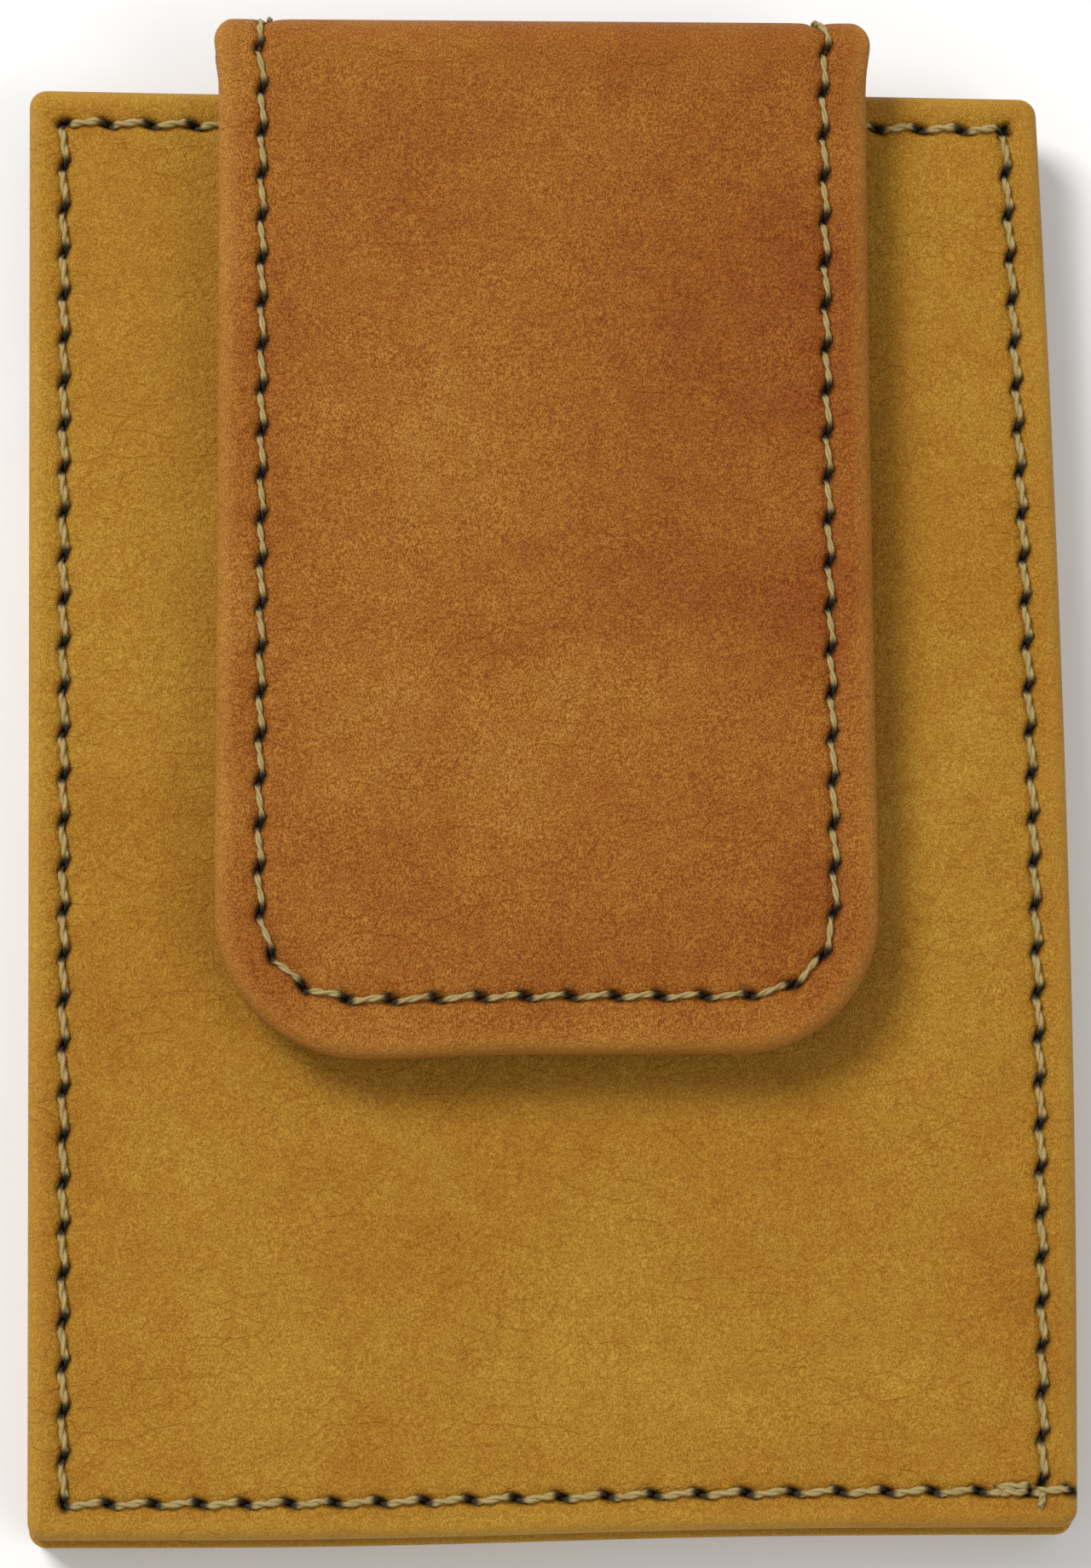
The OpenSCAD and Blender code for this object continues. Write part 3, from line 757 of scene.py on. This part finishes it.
vinyl_material = vinyl("clear_sheet")

# Where the case's seams and pockets' mouths lie
LEFT_SEAM = -CASE_HALF + CASE_SEAM
RIGHT_SEAM = CASE_HALF - CASE_SEAM
TOP_SEAM = CASE_TOP - CASE_SEAM
BOTTOM_SEAM = FACE_BOTTOM + CASE_SEAM
REAR_MOUTH = CASE_HALF - REAR_MOUTH_SEAM
MIDDLE_MOUTH = middle_high[1]
UPPER_MOUTH = upper_high[1]
WINDOW_MOUTH = frame_high[1]

# Seams of the case, as rows of needle holes
main_seam = square_seam(
    [
        (RIGHT_SEAM, TOP_SEAM),
        (LEFT_SEAM, TOP_SEAM),
        (LEFT_SEAM, BOTTOM_SEAM),
        (CASE_HALF - 0.5, BOTTOM_SEAM),
    ]
)
mouth_seam = needle_holes(np.array([(RIGHT_SEAM, BOTTOM_SEAM + 0.6), (RIGHT_SEAM, TOP_SEAM)]))
rear_mouth_seam = needle_holes(np.array([(REAR_MOUTH, BOTTOM_SEAM), (REAR_MOUTH, TOP_SEAM)]))


def round_window():
    """The window's seam, a rounded rectangle that starts in the middle of its lower edge."""
    x, low, high = WINDOW_HALF + WINDOW_SEAM, WINDOW_LOW - WINDOW_SEAM, WINDOW_HIGH + WINDOW_SEAM
    corners = [(0, low), (x, low), (x, high), (-x, high), (-x, low), (0, low)]
    return needle_holes(corner_path(corners, WINDOW_CORNER + WINDOW_SEAM))


window_seam = round_window()


def make_case_face():
    """The face leather with its edges turned under, hollow behind, where the stiffener and lining lie."""
    rim = rounded(CASE_HALF, FACE_BOTTOM, CASE_TOP, CASE_CORNER, CASE_CORNER)
    between = (rim[:, 1] < CASE_TOP - TURNED_WIDTH) & (rim[:, 1] > FACE_BOTTOM + TURNED_WIDTH)
    at_mouth = (rim[:, 0] > 0) & between
    thickness = face_high[2] - edge_low[2] - POCKET_RIM_SHORT * at_mouth
    slab = Slab(rim, spine(rim, CASE_HALF), thickness, FACE_ROLL, CASE_INSETS)
    hollow = (slab.depth > 0) & (slab.inset > TURNED_WIDTH)
    slab.depth[hollow] = face_high[2] - face_low[2] + GLUE_OVERLAP
    x, y = slab.xy[..., 0], slab.xy[..., 1]
    depth, dark = seams_relief(slab.xy, [main_seam, mouth_seam])
    soft = 0.09 * ripple(x, y) + 0.05 * ripple(1.9 * x, 1.7 * y, 5)
    relief = depth + (PANEL_SUNK + soft) * smooth(slab.inset / 4)
    # Painted shade on the rounded right edge along the pocket's mouth, turned away from the light
    mouth_rim_shade = smooth(1 - slab.inset / 2.2) * (x > 20)
    tone = soft_marks(slab.xy, *FACE_STAINS_AND_SHADE) - 0.14 * mouth_rim_shade
    piece = case_slab("case_face_leather", slab, face_high[2], 1, case_leather, relief, dark, tone)
    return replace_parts(piece, "face_panel", "face_turned_edges")


# The back's seams are pulled in more, and its flat place is a mirror image
REAR_SEAM = {"channel": 0.3, "hole_depth": 0.4, "hand": -1}


def make_rear_slab(name, node, seed):
    """A rear leather: the back panel or a card slot, with its mouth edge turned and creased."""
    low, high = node_box(node)
    rim = rounded(CASE_HALF, CASE_BOTTOM, high[1], CASE_CORNER, CASE_CORNER)
    slab = Slab(rim, spine(rim, CASE_HALF), high[2] - low[2], REAR_ROLL, CASE_INSETS)
    x, y = slab.xy[..., 0], slab.xy[..., 1]
    depth, dark = seams_relief(slab.xy, [main_seam, rear_mouth_seam], **REAR_SEAM)
    crease = 0.12 * np.exp(-(((y - high[1] + REAR_CREASE) / 0.22) ** 2))
    soft = 0.05 * ripple(x, y, seed) * smooth(slab.inset / 4)
    relief = depth + crease + soft + 0.05 * smooth(slab.inset / 4)
    # Painted shade along the crease below the slot's mouth, plus random tone
    tone = -0.5 * crease + 0.1 * ripple(0.3 * x, 0.4 * y, seed)
    piece = case_slab(name, slab, low[2], -1, case_leather, relief, dark, tone)
    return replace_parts(piece, node)


def make_window_leather():
    """The rear leather with the identity window and the thumb notch in its mouth."""
    counts = (92, 8, 270, 8, 92)  # the same for the outline and the hole, so that their points pair up
    rim = rounded(CASE_HALF, CASE_BOTTOM, WINDOW_MOUTH, CASE_CORNER, CASE_CORNER, counts)
    notch = WINDOW_MOUTH + NOTCH_RISE - np.sqrt(np.maximum(NOTCH_RADIUS**2 - rim[:, 0] ** 2, 0))
    upper = rim[:, 1] > WINDOW_MOUTH - 1e-6
    rim[:, 1] = np.where(upper, np.minimum(rim[:, 1], notch), rim[:, 1])
    for _ in range(6):  # rounds the notch's ends
        near_notch = upper & (np.abs(rim[:, 0]) < NOTCH_RADIUS + 1)
        rim[near_notch] = ((np.roll(rim, 1, 0) + np.roll(rim, -1, 0)) / 2)[near_notch]
    hole = rounded(WINDOW_HALF, WINDOW_LOW, WINDOW_HIGH, WINDOW_CORNER, WINDOW_CORNER, counts)
    gap = CASE_HALF - WINDOW_HALF
    by_window = (0.5, 0.8, 1.2, 1.6, 1.9, 2.15, 2.35, 2.5, 2.65, 2.85, 3.1, 3.5)
    insets = SEAM_INSETS + [gap - s for s in by_window] + list(np.linspace(4.8, gap - 4.2, 5))
    thickness = frame_high[2] - frame_low[2]
    slab = Slab(rim, hole, thickness, REAR_ROLL, insets, hole_roll=WINDOW_ROLL)
    x, y = slab.xy[..., 0], slab.xy[..., 1]
    depth, dark = seams_relief(slab.xy, [main_seam, rear_mouth_seam, window_seam], **REAR_SEAM)
    soft = 0.05 * ripple(x, y, 3) * smooth(slab.inset / 4)
    relief = np.maximum(depth + soft, 0)
    tone = 0.1 * ripple(0.3 * x, 0.4 * y, 2)
    piece = case_slab("window_leather", slab, frame_low[2], -1, case_leather, relief, dark, tone)
    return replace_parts(piece, "window_frame")


def make_window_sheet():
    """The clear sheet, whose surface is slightly wavy."""
    rim = rounded(sheet_high[0], sheet_low[1], sheet_high[1], 2, 2)
    thickness = sheet_high[2] - sheet_low[2]
    slab = Slab(rim, spine(rim, sheet_high[0]), thickness, 0.08, list(range(1, 26)))
    zero = np.zeros(slab.depth.shape)
    relief = 0.03 * (1 + ripple(0.5 * slab.xy[..., 0], 0.4 * slab.xy[..., 1], 7))
    piece = case_slab(
        "clear_window", slab, sheet_low[2], -1, vinyl_material, relief,
        pit=zero, tone=zero, slot="clear_sheet",
    )
    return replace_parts(piece, "window_sheet")


def rear_level(y):
    """Height of the back's outer surface, which steps up at each pocket's mouth."""
    level = np.where(y < WINDOW_MOUTH, frame_low[2], middle_low[2])
    level = np.where(y < MIDDLE_MOUTH, level, upper_low[2])
    return np.where(y < UPPER_MOUTH, level, back_low[2])


def rear_stitch_place(xy, height):
    """Stitches on the back follow its steps; one that crosses a step slopes from level to level."""
    first, last = rear_level(xy[:, :1, :1, 1]), rear_level(xy[:, -1:, :1, 1])
    t = np.linspace(0, 1, xy.shape[1])[None, :, None]
    z = first * (1 - t) + last * t - height
    return settle(np.concatenate([xy, z[..., None]], -1))


def rear_stitches(name, holes, place):
    """Stitches on the back."""
    return stitches(name, pairs(holes), place, hand=-1, lift=REAR_LIFT)


def face_stitches(name, runs, lift=0.0):
    """Stitches on the case's face."""
    return stitches(name, runs, case_place(face_high[2], 1), lift=lift)


def make_case_stitches():
    window_face = case_place(frame_low[2], -1)
    tack = np.array(TACK_ENDS) + (RIGHT_SEAM, BOTTOM_SEAM)
    made = {
        "case_seam_thread": face_stitches("case_seam_stitches", pairs(main_seam)),
        "pocket_edge_thread": face_stitches("pocket_edge_stitches", pairs(mouth_seam)),
        "case_seam_bobbin": rear_stitches("rear_seam_stitches", main_seam, rear_stitch_place),
        "rear_edge_thread": rear_stitches("rear_edge_stitches", rear_mouth_seam, rear_stitch_place),
        "window_seam_thread": rear_stitches("window_stitches", window_seam, window_face),
        "bar_tack_thread": face_stitches("bar_tack_stitches", tack, lift=0.08),
    }
    for node, piece in made.items():
        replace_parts(piece, node)
        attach(piece, "case")


# ---------------------------------------------------------------- strap


def wrap(flat, height):
    """Turns flat places on the strap (u across, v along, heights above its outer face) into the frame,
    round the fold. v is 0 at the crown, positive on the flap and negative on the sewn-down leaf."""
    u, v = flat[..., 0], flat[..., 1]
    radius = FOLD_RADIUS + height
    angle = np.clip(v / FOLD_RADIUS, -math.pi / 2, math.pi / 2)
    past = np.maximum(np.abs(v) - QUARTER, 0)
    y = FOLD_Y + radius * np.cos(angle) - past
    z = FOLD_Z + radius * np.sin(angle)
    beside_crown = np.exp(-(((np.abs(v) - 3.2) / 1.8) ** 2))
    flare = 1 + SHOULDER_FLARE * beside_crown - CROWN_PINCH * np.exp(-((v / 1.7) ** 2))
    flare = flare - SIDE_WAVER * smooth(v / FLAP_END) * np.sin(v / 14)
    sag = TIP_SAG * np.exp(-(((u + 12) / 6) ** 2)) * smooth((v - FLAP_END + 8) / 6)
    return np.stack([u * flare, y - sag, z], -1)


def skin_depth(v):
    """Thickness of the outer leather with what it wraps: thin round the fold, thicker over the boards."""
    return STRAP_SKIN + BOARD * smooth((np.abs(v) - QUARTER) / TAPER)


def strap_outline(inset):
    """The strap's outline laid flat, with finer rows round the crown, where the bend is sharpest."""
    low, high = BASE_END + inset, FLAP_END - inset
    r = TIP_CORNER - inset
    even = np.arange(low + r, high - r, STEP)
    fine, finest = np.arange(-CROWN_ROWS, CROWN_ROWS + 0.01, 0.08), np.arange(-0.24, 0.25, 0.03)
    rows = np.concatenate([even[np.abs(even) > CROWN_ROWS], fine, finest, [low + r, high - r]])
    side = np.unique(np.round(rows, 4))
    return rounded(STRAP_HALF - inset, low, high, r, r, side=side)


def strap_seam(hand, tip):
    """Needle holes from the fold down a side, round the tip and up again; hand is the first side."""
    x = hand * (STRAP_HALF - STRAP_SEAM)
    corners = [(x, SEAM_SPLIT), (x, tip), (-x, tip), (-x, SEAM_SPLIT)]
    return needle_holes(corner_path(corners, TIP_CORNER - STRAP_SEAM))


flap_seam = strap_seam(-1, FLAP_END - TIP_SEAM)
base_seam = strap_seam(1, BASE_END + TIP_SEAM)


def beyond_fold(seam):
    """The holes of a strap seam that lie on the flat of a leaf, where the inner leather is sewn."""
    return seam[np.abs(seam[:, 1]) > QUARTER + TAPER]


STRAP_STAINS_AND_HIGHLIGHTS = (  # how much lighter, x, y from the tip's edge, across, along and turn
    (-0.1, 14, -56, 9, 13, 20),
    (-0.1, 9, -48, 8, 16, 35),
    (-0.16, 10, -31, 14, 4, -8),
    (-0.12, -1, -28, 12, 1.0, 5),
    (-0.14, 20, -36, 4, 18),
    (-0.1, -20, -30, 3.5, 30),
    (0.12, -3, -24, 13, 9),
    (0.12, -8, -42, 10, 9),
    (-0.08, -12, -62, 8, 6),
    (-0.08, 0, -7, 18, 4),
    # painted highlight along the left edge
    (0.12, -STRAP_HALF, -35, 2.5, 60),
    # painted highlight along the tip's edge
    (0.07, -4, 0, 22, 2),
    (-0.1, 18, -12, 5, 8),
)


def strap_tone(xy):
    """Tone on the strap: darker clouds towards the right and across the middle and paler below, all
    with wavy outlines; the pale strips along the left edge and the tip's edge are painted highlight on
    its rounded edges."""
    x, y = xy[..., 0], xy[..., 1]
    wavy_x = x + 2.5 * ripple(x, y, 4)
    wavy_y = y + 1.8 * ripple(x, y, 6) + 0.7 * np.sin(x / 3.1)
    return soft_marks(np.stack([wavy_x, wavy_y - FLAP_END], -1), *STRAP_STAINS_AND_HIGHLIGHTS)


def bend_with_flap(piece):
    """Bakes the piece's placement into its points."""
    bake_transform(piece)


# The same for the strap's two leathers
OUTER_SEAM_INSETS = [1.3, 1.5, 1.75, 2.0, 2.2, 2.4, 2.6, 2.75, 2.9, 3.05, 3.2, 3.35, 3.5, 3.7, 3.9]
OUTER_BROAD_INSETS = [4.1, 4.4, 4.8, 5.4, 6.2, 7.4, 8.8, 10.4, 12.2, 14.2, 16.4, 18.6, 20.6, STRAP_HALF]
INNER_SEAM_INSETS = [0.8, 1.3, 1.8, 2.1, 2.3, 2.5, 2.65, 2.8, 2.95, 3.1, 3.25, 3.4, 3.6, 3.9, 4.3]
INNER_BROAD_INSETS = [5, 6.5, 8.5, 11, 14, 17, 20, STRAP_HALF - LINING_SHORT]


def make_strap_outer():
    """The strap's outer leather, in one piece from the sewn-down leaf over the fold to the flap's tip."""
    rim = strap_outline(0)
    thickness = skin_depth(rim[:, 1])
    roll = np.minimum(STRAP_ROLL, 0.7 * thickness)
    slab = Slab(rim, spine(rim, STRAP_HALF), thickness, roll, OUTER_SEAM_INSETS + OUTER_BROAD_INSETS)
    # The underside lies as deep as the leather is thick there, which is less round the fold
    under = slab.depth > 0.99 * thickness
    slab.depth = np.where(under, np.minimum(slab.depth, skin_depth(slab.xy[..., 1])), slab.depth)
    x, y = slab.xy[..., 0], slab.xy[..., 1]
    depth, dark = seams_relief(slab.xy, [flap_seam], hand=-1)
    soft = 0.1 * ripple(x, 0.8 * y, 2) + 0.05 * ripple(2 * x, 1.4 * y, 9)
    slab.press(depth + (PANEL_SUNK + soft) * smooth(slab.inset / 5) * smooth((y - QUARTER) / 6))
    piece = slab_piece(
        "strap_outer_leather", slab, wrap(slab.xy, -slab.depth), strap_leather, "strap_leather",
        pit=dark, tone=strap_tone(slab.xy),
    )
    bend_with_flap(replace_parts(piece, "base_leather", "fold_leather", "flap_leather"))


def make_strap_inner():
    """The strap's inner leather, which faces itself when the clip is closed."""
    rim = strap_outline(LINING_SHORT)
    core = spine(rim, STRAP_HALF - LINING_SHORT)
    slab = Slab(rim, core, STRAP_LINING, LINING_ROLL, INNER_SEAM_INSETS + INNER_BROAD_INSETS)
    x, y = slab.xy[..., 0], slab.xy[..., 1]
    seams = [beyond_fold(flap_seam), beyond_fold(base_seam)]
    depth, dark = seams_relief(slab.xy, seams, channel=0.1, hole_depth=0.3)
    soft = 0.03 * (1 + ripple(x, y, 4)) * smooth(slab.inset / 4)
    slab.press(depth + soft * smooth((np.abs(y) - 9) / 4))
    points = wrap(slab.xy, -(skin_depth(y) + STRAP_LINING - slab.depth))
    # Darker towards the middle of each leaf
    leaf_middles_darker = soft_marks(slab.xy, (-0.16, 0, 30, 14, 22), (-0.12, 0, -30, 14, 22))
    piece = slab_piece(
        "strap_inner_leather", slab, points, inner_leather, "strap_inner_leather",
        pit=dark, tone=leaf_middles_darker,
    )
    bend_with_flap(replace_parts(piece, "base_lining", "fold_lining", "flap_lining"))


def inner_place(flat, height):
    """Places flat points and heights above the inner leather's face."""
    return wrap(flat, -(skin_depth(flat[..., 1]) + STRAP_LINING + height))


def inner_stitches(name, seam):
    """Stitches on the inner leather."""
    return stitches(name, pairs(beyond_fold(seam)), inner_place)


def make_strap_stitches():
    outer = stitches("strap_seam_stitches", pairs(flap_seam), wrap, hand=-1, weight=STRAP_THREAD)
    bend_with_flap(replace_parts(outer, "flap_seam_thread", "fold_thread"))
    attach(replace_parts(inner_stitches("flap_inner_stitches", flap_seam), "flap_seam_bobbin"), "flap")
    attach(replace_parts(inner_stitches("base_inner_stitches", base_seam), "base_seam_thread"), "case")


# ---------------------------------------------------------------- the rest


def finish_cad_nodes():
    """Gives the CAD nodes that stay their materials, with their own place as the flat place."""
    kept = {
        board_material: ("face_stiffener", "base_board", "flap_board"),
        magnet_material: ("base_magnets", "flap_magnets"),
        lining_cloth: ("face_lining", "pocket_lining", "upper_slot_lining", "middle_slot_lining"),
        thread_material: ("pocket_edge_bobbin", "rear_edge_bobbin", "base_seam_bobbin"),
    }
    for material, names in kept.items():
        for name in names:
            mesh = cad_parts[name].data
            mesh.materials.clear()
            mesh.materials.append(material)
            place = np.array([v.co for v in mesh.vertices]) / MM
            layer = mesh.attributes.new("flat", "FLOAT_VECTOR", "POINT")
            layer.data.foreach_set("vector", place.astype(np.float32).ravel())


def make_camera():
    """The camera at the photograph's angle, turned about its own axis by CAMERA_ROLL."""
    a, e = math.radians(CAMERA_AZIMUTH), math.radians(CAMERA_ELEVATION)
    back = Vector((math.sin(a) * math.cos(e), -math.cos(a) * math.cos(e), math.sin(e)))
    up = Vector((0, 1, 0))
    up = (up - up.dot(back) * back).normalized()
    right = up.cross(back)
    turn = Matrix.Rotation(math.radians(CAMERA_ROLL), 3, back)
    right, up = turn @ right, turn @ up
    data = bpy.data.cameras.new("camera")
    data.lens = CAMERA_LENS
    data.clip_start = 0.01
    camera = bpy.data.objects.new("camera", data)
    axes = Matrix((right, up, back)).transposed().to_4x4()
    where = Vector(CAMERA_TARGET) * MM + back * CAMERA_DISTANCE * MM
    camera.matrix_world = Matrix.Translation(where) @ axes
    bpy.context.scene.collection.objects.link(camera)
    bpy.context.scene.camera = camera


def make_floor():
    """A pale paper sheet, 3 m square."""
    half = 1.5
    mesh = bpy.data.meshes.new("floor")
    corners = [(-half, -half, 0), (half, -half, 0), (half, half, 0), (-half, half, 0)]
    mesh.from_pydata(corners, [], [(0, 1, 2, 3)])
    g = Graph("floor")
    paper = g.add("ShaderNodeTexCoord").outputs["Object"]
    shade = g.add("ShaderNodeTexNoise", {"Vector": paper, "Scale": 6.0, "Detail": 2.0}).outputs["Fac"]
    g.set(Base_Color=g.ramp(shade, (0.3, (0.9, 0.9, 0.9)), (0.7, (0.93, 0.93, 0.93))), Roughness=0.9)
    mesh.materials.append(g.material)
    floor = bpy.data.objects.new("floor", mesh)
    bpy.context.scene.collection.objects.link(floor)


def make_light(name, place, size, power):
    """A square lamp that looks at the origin: its place and size in metres, its power in watts."""
    data = bpy.data.lights.new(name, "AREA")
    data.size = size
    data.energy = power
    light = bpy.data.objects.new(name, data)
    light.location = place
    light.rotation_mode = "QUATERNION"
    light.rotation_quaternion = Vector(place).to_track_quat("Z", "Y")
    bpy.context.scene.collection.objects.link(light)


def make_lights():
    make_light("key", (-0.45, 0.45, 0.75), 0.35, 7.4)
    make_light("fill", (0.6, -0.35, 0.8), 0.6, 2.4)
    world = bpy.data.worlds.new("studio")
    world.use_nodes = True
    background = world.node_tree.nodes["Background"]
    background.inputs["Color"].default_value = (1, 1, 1, 1)
    background.inputs["Strength"].default_value = 0.42
    bpy.context.scene.world = world
    bpy.context.scene.view_settings.view_transform = "Standard"


make_camera()
make_floor()
make_lights()
for made in (
    make_case_face(),
    make_rear_slab("back_leather", "back_panel", 1),
    make_rear_slab("upper_slot_leather", "upper_card_slot", 2),
    make_rear_slab("middle_slot_leather", "middle_card_slot", 6),
    make_window_leather(),
    make_window_sheet(),
):
    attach(made, "case")
make_case_stitches()
make_strap_outer()
make_strap_inner()
make_strap_stitches()
finish_cad_nodes()
